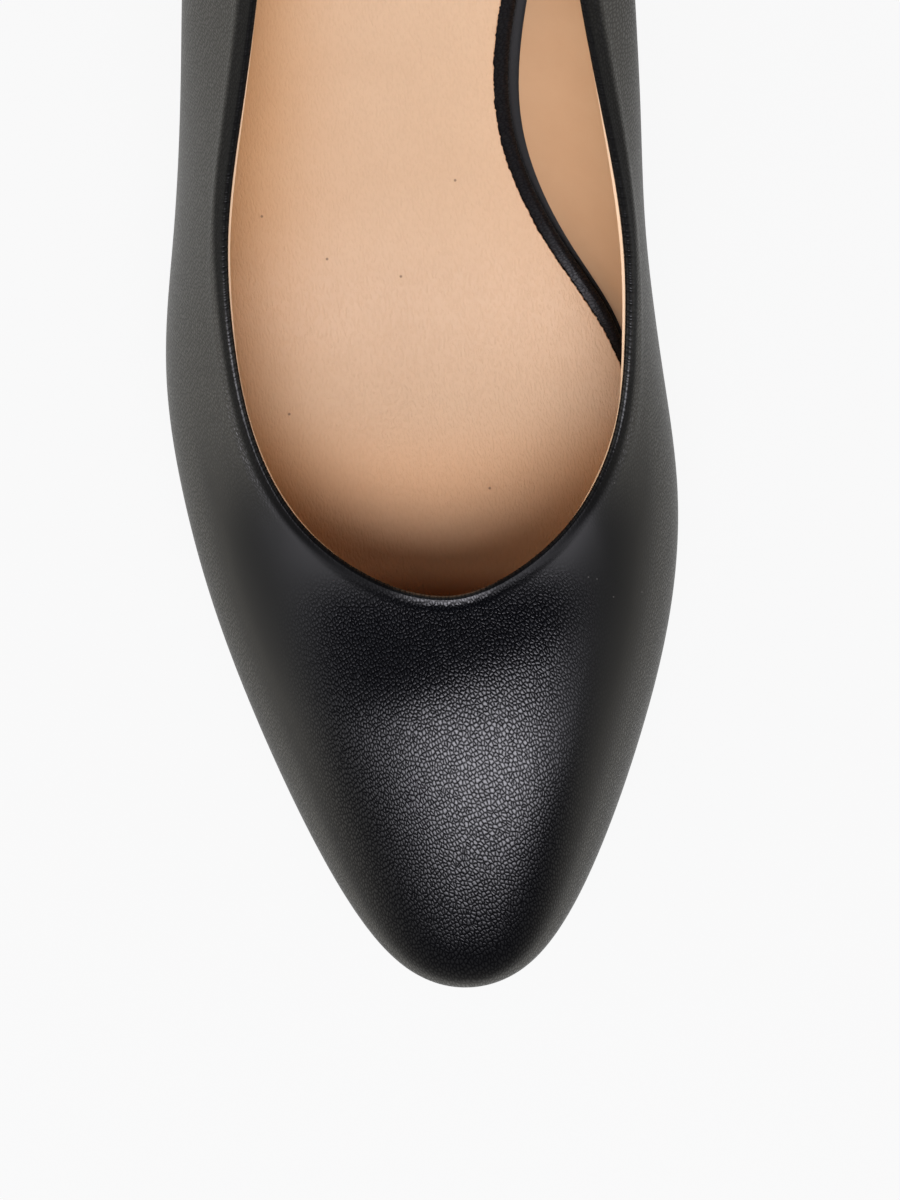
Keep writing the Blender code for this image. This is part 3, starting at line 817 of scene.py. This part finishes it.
TAN_LOW = (0.55, 0.325, 0.17, 1)
TAN_HIGH = (0.61, 0.38, 0.21, 1)
TAN_CUT_HIGHLIGHT = (0.80, 0.56, 0.36, 1)
tan = Finish("tan_lining_leather", {"IOR": 1.45})
tan_cloud = tan.noise(9.0, detail=4.0)
tan_pores = tan.noise(0.45, detail=3.0)
tan_face = tan.blend(tan_cloud, TAN_LOW, TAN_HIGH)
# Painted highlight: the cut edge is coloured paler, as where it faces the light.
tan.shade(Base_Color=tan.blend(tan.mark("cut"), tan_face, TAN_CUT_HIGHLIGHT),
          Roughness=0.62 - 0.1 * tan_pores,
          Normal=tan.bump(tan_pores, 0.05))
fit(lining, tan, "sock")

# Outsole
# A thin sole of black rubber, cut to the bottom of the lasted upper from the toe to the heel breast.
# It is cemented on, and its edges are rounded off.

OUTSOLE_INSET = 0.4
OUTSOLE_ROUNDING = 0.7
OUTSOLE_UPPER_ROUNDING = 0.2
OUTSOLE_STATIONS = 260
OUTSOLE_ACROSS = 20


def cut_square(sections):
    """Closes the last section of a sheet with a flat end: one more section, drawn in to its middle line."""
    end = sections[-1:].copy()
    end[..., 0] = (end[..., 0].min() + end[..., 0].max()) / 2
    return np.concatenate([sections, end])


outsole_rim = rounded_rim(OUTSOLE_INSET, -GAP - OUTSOLE, -GAP, OUTSOLE_ROUNDING, OUTSOLE_UPPER_ROUNDING)
outsole_places = stations(OUTSOLE_STATIONS, BREAST - GAP)
outsole_sections = sheet_sections(outsole_places, outsole_rim, OUTSOLE_ACROSS)
outsole = add_piece("outsole_black", cut_square(outsole_sections))

SOLE_LOW = (0.012, 0.012, 0.012, 1)
SOLE_HIGH = (0.022, 0.021, 0.021, 1)
sole = Finish("sole_rubber", {"IOR": 1.5})
sole_grit = sole.noise(0.35, detail=4.0)
sole_cloud = sole.noise(12.0)
sole.shade(Base_Color=sole.blend(sole_cloud, SOLE_LOW, SOLE_HIGH),
           Roughness=0.55 + 0.2 * sole_grit,
           Normal=sole.bump(sole_grit, 0.05))
fit(outsole, sole, "sole", "outsole")

# Heel
# A block under the seat, wrapped in the calf of the upper and fixed from inside the shoe.
# A black rubber top piece is pinned to its floor end.

HEEL_TAPER = 0.86       # its width at the floor end, as a share of that at the seat
HEEL_FLOOR_FRONT = 199.0
HEEL_FLOOR_BACK = 241.0
TOP_PIECE = 5.0         # thickness of the top piece
BLOCK_EDGE = 0.6        # width of the softened edges
BLOCK_EDGE_ANGLE = 0.7
HEEL_STATIONS = 70
BREAST_COLUMNS = 24
HEEL_LEVELS = 30
TOP_PIECE_LEVELS = 6


def heel_loop(share, floor):
    """Outline of the heel at a share of the way down from the seat to its level floor end, and the middle
    line of that outline: breast, medial side, lateral side."""
    turns = np.linspace(turn(BREAST / LENGTH), np.pi, HEEL_STATIONS)
    places = LENGTH * (1 - np.cos(turns)) / 2
    middle = BALL_WIDTH * last("ridge", LENGTH)
    narrowing = 1 - (1 - HEEL_TAPER) * np.sin(share * np.pi / 2)
    rails = []
    for rail in feather_rails(places, OUTSOLE_INSET):
        seat_x, seat_along = rail.T
        seat = bed(seat_along) - GAP
        floor_ends = (HEEL_FLOOR_FRONT, HEEL_FLOOR_BACK)
        floor_along = np.interp(seat_along, (seat_along[0], seat_along[-1]), floor_ends)
        x = middle + (seat_x - middle) * narrowing
        along = seat_along + (floor_along - seat_along) * share
        rails.append(np.column_stack([x, along, seat + (floor - seat) * share]))
    medial, lateral = rails
    step = np.linspace(0, 1, BREAST_COLUMNS + 2)[1:-1, None]
    breast = lateral[:1] + (medial[:1] - lateral[:1]) * step
    centre = (medial + lateral) / 2
    front = np.repeat(centre[:1], BREAST_COLUMNS, axis=0)
    loop = np.concatenate([breast, medial, lateral[:0:-1]])
    middle_line = np.concatenate([front, centre, centre[:0:-1]])
    return loop, middle_line


def add_block(name, levels):
    """A block from outlines stacked downward, closed by the middle lines of the first and the last."""
    grid = np.stack([levels[0][1], *(loop for loop, _ in levels), levels[-1][1]])
    run = np.cumsum(np.linalg.norm(np.diff(grid[1], axis=0, prepend=grid[1, :1]), axis=1))
    flat = grid.copy()
    flat[..., 0] = run
    flat[..., 1] = grid[..., 2]
    # The heel's leather is fine-grained all over, with its painted sheen.
    made = add_piece(name, grid, marks={"flat": flat, "fine": np.ones(grid.shape[:2])})
    edges = made.modifiers.new("softened_edges", "BEVEL")
    edges.width = BLOCK_EDGE * MM
    edges.segments = 3
    edges.limit_method = "ANGLE"
    edges.angle_limit = BLOCK_EDGE_ANGLE
    return made


heel_levels = [heel_loop(share, TOP_PIECE + GAP) for share in np.linspace(0, 1, HEEL_LEVELS)]
heel = add_block("heel_cover", heel_levels)
fit(heel, calf, "heel_cover", "heel")

top_piece_levels = [heel_loop(1, z) for z in np.linspace(TOP_PIECE, 0, TOP_PIECE_LEVELS)]
top_piece = add_block("heel_top_piece_rubber", top_piece_levels)
fit(top_piece, sole, "heel_lift", "heel_top_piece")

# Sock
# A sheet of peach-tan lining leather, cut a little smaller than the insole, so that the insole's black wrap
# shows along the medial waist. It is cemented on last, and its cut edge is a little uneven.

SOCK = 1.0              # thickness of the sock
SOCK_INSET = 4.2
SOCK_WAIST_INSET = 0.9  # by how much more its medial edge is inset along the waist
SOCK_LOWER_ROUNDING = 0.1
SOCK_ROUNDING = 0.25
SOCK_RIM_STEPS = 3
WAIST_FRONT = 82.0
WAIST_BACK = 232.0
WAIST_FADE = 24.0
SOCK_BALL = (1.3, 99.0, 9.0)  # it reaches farther out beside the ball: distance, place and spread
SOCK_STATIONS = 1300
SOCK_ACROSS = 12
NICK = 0.06             # unevenness of the cut edge
NICK_SEED = 7
NICK_FREE = 4           # stations at each end without it
SOCK_RIM_SHADE = 7.0          # the front is painted a deeper, redder tan within this of its edge, as the saturated shade near the walls
SOCK_LATERAL_SHADE = 12.0     # and the whole lateral side within this, as painted shade along the lateral wall
SOCK_FRONT_SHADE = (80.0, 98.0)  # the front, between full and none, where the vamp's shade is painted
SOCK_TOE_SHADE = (63.5, 69.5)  # the toe end is painted dark brown between these places along the shoe, as the deep shade under the vamp
SOCK_SPECKS = ((-21.9, 94.1), (5.4, 131.9), (-3.5, 116.6), (-26.2, 126.2), (-15.6, 119.4), (11.1, 81.9))


def waist(places):
    """1 along the waist, fading to 0 at the ball and at the heel."""
    rise = smooth_step((places - WAIST_FRONT) / WAIST_FADE)
    return rise * smooth_step((WAIST_BACK - places) / WAIST_FADE)


sock_places = stations(SOCK_STATIONS)
sock_medial = SOCK_WAIST_INSET * waist(sock_places) - hump(sock_places, *SOCK_BALL)
nicks = np.random.default_rng(NICK_SEED).normal(0, NICK, SOCK_STATIONS + 1)
nicks[:NICK_FREE] = 0
nicks[-NICK_FREE:] = 0
sock_low = INSOLE + GAP
sock_rim = rounded_rim(SOCK_INSET, sock_low, sock_low + SOCK, SOCK_LOWER_ROUNDING, SOCK_ROUNDING,
                       SOCK_RIM_STEPS)
uneven_rim = [(inset + nicks, lift) for inset, lift in sock_rim]
sock_grid = sheet_sections(sock_places, uneven_rim, SOCK_ACROSS, sock_medial)
sock_x = sock_grid[..., 0]
from_lateral = sock_x - sock_x.min(axis=1, keepdims=True)
from_medial = sock_x.max(axis=1, keepdims=True) - sock_x
front_shade_mark, toe_shade_mark = (smooth_step((start - sock_grid[..., 1]) / (start - full))
                        for full, start in (SOCK_FRONT_SHADE, SOCK_TOE_SHADE))
rim_shade_mark = front_shade_mark * np.exp(-np.minimum(from_lateral, from_medial) / SOCK_RIM_SHADE)
lateral_shade_mark = hump(from_lateral, 1, 0, SOCK_LATERAL_SHADE)
sock_marks = {"rim": rim_shade_mark, "lateral": lateral_shade_mark, "front": front_shade_mark, "toe": toe_shade_mark}
sock = add_piece("sock_leather", sock_grid, marks=sock_marks)

PEACH_LOW = (0.65, 0.442, 0.272, 1)
PEACH_HIGH = (0.70, 0.49, 0.31, 1)
PEACH_FRONT_SHADE = (0.665, 0.40, 0.217, 1)
PEACH_RIM_SHADE = (0.74, 0.37, 0.13, 1)
PEACH_LATERAL_SHADE = (0.52, 0.265, 0.09, 1)
PEACH_LINE_SHADE = (0.30, 0.14, 0.06, 1)
PEACH_TOE_SHADE = (0.22, 0.07, 0.01, 1)
SPECK_BROWN = (0.12, 0.07, 0.04, 1)
SPECK_RADIUS = 0.3
LINE_TURN = 0.12        # fine lines run along the shoe, at this angle to it
LINE_STRETCH = (0.36, 1.0, 1.0)
peach = Finish("peach_sock_leather", {"IOR": 1.45, "Specular IOR Level": 0.3})
peach_cloud = peach.noise(16.0, detail=3.0)
peach_lines = peach.rise(peach.noise(1.0, peach.laid(LINE_TURN, LINE_STRETCH)), 0.3, 0.6)
peach_pores = peach.noise(0.4)
peach_open = peach.blend(peach_cloud, PEACH_LOW, PEACH_HIGH)
# Painted shade: the front is a more saturated tan where the vamp shades it, deeper and redder near its
# edges, and the lateral side darker along its wall.
peach_front_shaded = peach.blend(peach.mark("front"), peach_open, PEACH_FRONT_SHADE)
peach_rim_shaded = peach.blend(0.9 * peach.mark("rim"), peach_front_shaded, PEACH_RIM_SHADE)
peach_lateral_shaded = peach.blend(0.72 * peach.mark("lateral"), peach_rim_shaded, PEACH_LATERAL_SHADE)
# Painted shade in the hollows of the fine lines.
peach_line_shaded = peach.blend(0.05 * (1 - peach_lines), peach_lateral_shaded, PEACH_LINE_SHADE)
peach_worn = peach.blend(0.7 * peach.specks(SOCK_SPECKS, SPECK_RADIUS), peach_line_shaded, SPECK_BROWN)
# Painted shade: the toe end under the vamp is coloured dark brown.
peach.shade(Base_Color=peach.blend(peach.mark("toe"), peach_worn, PEACH_TOE_SHADE),
            Roughness=0.6 - 0.12 * peach_lines,
            Normal=peach.bump(peach_pores, 0.03, peach.bump(peach_lines, 0.05)))
fit(sock, peach, "sock", "sock_lining")

# Studio
# A white paper floor that is bright by itself, and a soft box of three ovals over the toe. The room has a
# bright horizon under a dark ceiling, dimmer ahead of the toe, behind the heel and on the medial side.

FLOOR_REACH = 12.0      # in metres, from the middle to each edge
FLOOR_DROP = 0.1        # below the shoe
FLOOR_GLOW = 0.915
PAPER_GREY = (0.03, 0.03, 0.03, 1)

floor_mesh = bpy.data.meshes.new("floor")
floor_corners = [(-FLOOR_REACH, -FLOOR_REACH), (FLOOR_REACH, -FLOOR_REACH),
                 (FLOOR_REACH, FLOOR_REACH), (-FLOOR_REACH, FLOOR_REACH)]
floor_mesh.from_pydata([(x, y, -FLOOR_DROP * MM) for x, y in floor_corners], [], [(0, 1, 2, 3)])
floor = bpy.data.objects.new("floor", floor_mesh)
bpy.context.scene.collection.objects.link(floor)
paper = Finish("white_paper", {"Base Color": PAPER_GREY, "Roughness": 0.9, "Specular IOR Level": 0.0,
                               "Emission Color": (1, 1, 1, 1), "Emission Strength": FLOOR_GLOW})
floor_mesh.materials.append(paper.material)

SOFTBOX_X = 0.045
SOFTBOX_COLOUR = (1.0, 0.98, 1.07)

# Name, y, height and size in metres, and radiance: brightest in the middle and toward the heel
SOFTBOXES = (
    ("softbox_rim", -0.960, 1.50, (2.60, 1.10), 2.2),
    ("softbox_body", -0.900, 1.48, (1.50, 0.94), 3.6),
    ("softbox_middle", -0.820, 1.46, (0.92, 0.76), 4.5),
)


def add_softbox(name, y, height, size, radiance):
    """One oval of the soft box, facing down; its power is its radiance times pi times its area."""
    lamp = bpy.data.lights.new(name, "AREA")
    lamp.shape = "ELLIPSE"
    lamp.size, lamp.size_y = size
    lamp.energy = radiance * np.pi * (np.pi / 4 * size[0] * size[1])
    lamp.color = SOFTBOX_COLOUR
    made = bpy.data.objects.new(name, lamp)
    made.location = (SOFTBOX_X, y, height)
    bpy.context.scene.collection.objects.link(made)


for softbox in SOFTBOXES:
    add_softbox(*softbox)

# Colours of the room from the horizon (0) to the zenith (1)
SKY_STOPS = (
    (0.0, (2.0, 1.9, 1.7)),
    (0.15, (1.9, 1.82, 1.66)),
    (0.35, (1.25, 1.21, 1.14)),
    (0.65, (0.45, 0.455, 0.465)),
    (0.9, (0.075, 0.08, 0.10)),
    (1.0, (0.036, 0.040, 0.056)),
)

# Strength of the room's light over the direction's y, either way, and x: from, to, strength at each
LENGTHWISE = (0.3, 0.85, 1.0, 0.2)
SIDEWAYS = (-0.5, 0.5, 1.35, 0.78)

sky = bpy.data.worlds.new("studio")
bpy.context.scene.world = sky
sky.use_nodes = True
sky_nodes = sky.node_tree.nodes
sky_links = sky.node_tree.links
background = sky_nodes["Background"]
direction = sky_nodes.new("ShaderNodeTexCoord")
parts = sky_nodes.new("ShaderNodeSeparateXYZ")
ramp = sky_nodes.new("ShaderNodeValToRGB")
while len(ramp.color_ramp.elements) < len(SKY_STOPS):
    ramp.color_ramp.elements.new(0.5)
for element, (position, colour) in zip(ramp.color_ramp.elements, SKY_STOPS):
    element.position = position
    element.color = (*colour, 1)
sky_links.new(direction.outputs["Generated"], parts.inputs[0])
sky_links.new(parts.outputs["Z"], ramp.inputs["Fac"])
sky_links.new(ramp.outputs["Color"], background.inputs["Color"])


def dimming(value, start, end, low, high):
    """Smooth step of the room's light from low to high over a component of the direction."""
    made = sky_nodes.new("ShaderNodeMapRange")
    made.interpolation_type = "SMOOTHSTEP"
    for socket, number in zip(("From Min", "From Max", "To Min", "To Max"), (start, end, low, high)):
        made.inputs[socket].default_value = number
    sky_links.new(value, made.inputs["Value"])
    return made.outputs["Result"]


def sky_math(operation, *values):
    """A Math node on values of the room's light, in their order."""
    made = sky_nodes.new("ShaderNodeMath")
    made.operation = operation
    for socket, value in zip(made.inputs, values):
        sky_links.new(value, socket)
    return made.outputs[0]


lengthwise = dimming(sky_math("ABSOLUTE", parts.outputs["Y"]), *LENGTHWISE)
sideways = dimming(parts.outputs["X"], *SIDEWAYS)
sky_links.new(sky_math("MULTIPLY", lengthwise, sideways), background.inputs["Strength"])

# Camera
# Straight overhead with the toe down, framed as the photo is: in metres, with the lens in millimetres.
# The back third of the shoe lies above the picture's edge.

CAMERA_PLACE = (0.00456, -0.0590, 1.2)
LENS = 217.2
SENSOR_WIDTH = 36
camera_data = bpy.data.cameras.new("overhead")
camera_data.lens = LENS
camera_data.sensor_width = SENSOR_WIDTH
camera = bpy.data.objects.new("overhead", camera_data)
camera.location = CAMERA_PLACE
bpy.context.scene.collection.objects.link(camera)
bpy.context.scene.camera = camera
bpy.context.scene.view_settings.view_transform = "Standard"
